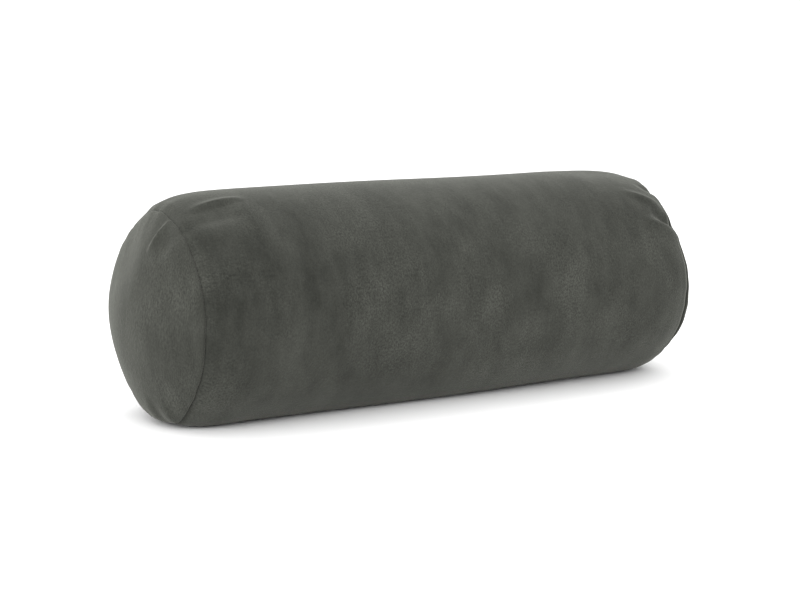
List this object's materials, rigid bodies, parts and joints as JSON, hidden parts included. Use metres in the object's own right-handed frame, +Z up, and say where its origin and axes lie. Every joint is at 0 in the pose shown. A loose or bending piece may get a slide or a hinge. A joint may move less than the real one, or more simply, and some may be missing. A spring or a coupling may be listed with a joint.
{
  "type": "bolster pillow",
  "caption": "Round bolster pillow in dark velvet with sewn-in end panels, a zip along the back, and an inner pillow of foam and wadding",
  "frame": {"origin": "middle of the flattened underside, where the pillow rests", "axes": "+X along the pillow's axis towards the end where the zip closes, +Z up, +Y to the back, where the zip is"},
  "size_m": [0.556, 0.2, 0.1902],
  "materials": {
    "velvet": "short-pile velvet, dark olive grey",
    "thread": "dark sewing thread",
    "zip_tape": "woven zip tape",
    "zip_nylon": "nylon coil",
    "zip_metal": "gunmetal plating",
    "label_satin": "blank satin label",
    "casing_cotton": "undyed plain-weave cotton",
    "casing_thread": "undyed thread",
    "wadding": "white polyester wadding",
    "foam": "open-cell polyurethane foam"
  },
  "bodies": {
    "pillow": {"cover_tube": "velvet", "cover_end_left": "velvet", "cover_end_right": "velvet", "end_seam_thread_left": "thread", "end_seam_thread_right": "thread", "edge_overlock_left": "thread", "edge_overlock_right": "thread", "back_seam_thread_left": "thread", "back_seam_thread_right": "thread", "zip_stitching_upper": "thread", "zip_stitching_lower": "thread", "zip_tape_upper": "zip_tape", "zip_tape_lower": "zip_tape", "zip_coil_upper": "zip_nylon", "zip_coil_lower": "zip_nylon", "zip_top_stop_upper": "zip_metal", "zip_top_stop_lower": "zip_metal", "zip_bottom_stop": "zip_metal", "care_label": "label_satin", "insert_casing_tube": "casing_cotton", "insert_casing_end_left": "casing_cotton", "insert_casing_end_right": "casing_cotton", "insert_seam_thread_left": "casing_thread", "insert_seam_thread_right": "casing_thread", "insert_closing_seam": "casing_thread", "wadding_wrap": "wadding", "wadding_end_left": "wadding", "wadding_end_right": "wadding", "foam_core": "foam"},
    "slider": {"zip_slider": "zip_metal"},
    "pull": {"zip_pull": "zip_metal"}
  },
  "joints": [
    {"name": "zip_slide", "type": "slide", "parent": "pillow", "child": "slider", "axis": [1, 0, 0], "range_m": [-0.3494, 0]},
    {"name": "zip_pull_swing", "type": "hinge", "parent": "slider", "child": "pull", "pos_m": [0.17495, 0.09505, 0.1248], "axis": [0, 0.342, -0.9397], "range_deg": [0, 170]}
  ]
}
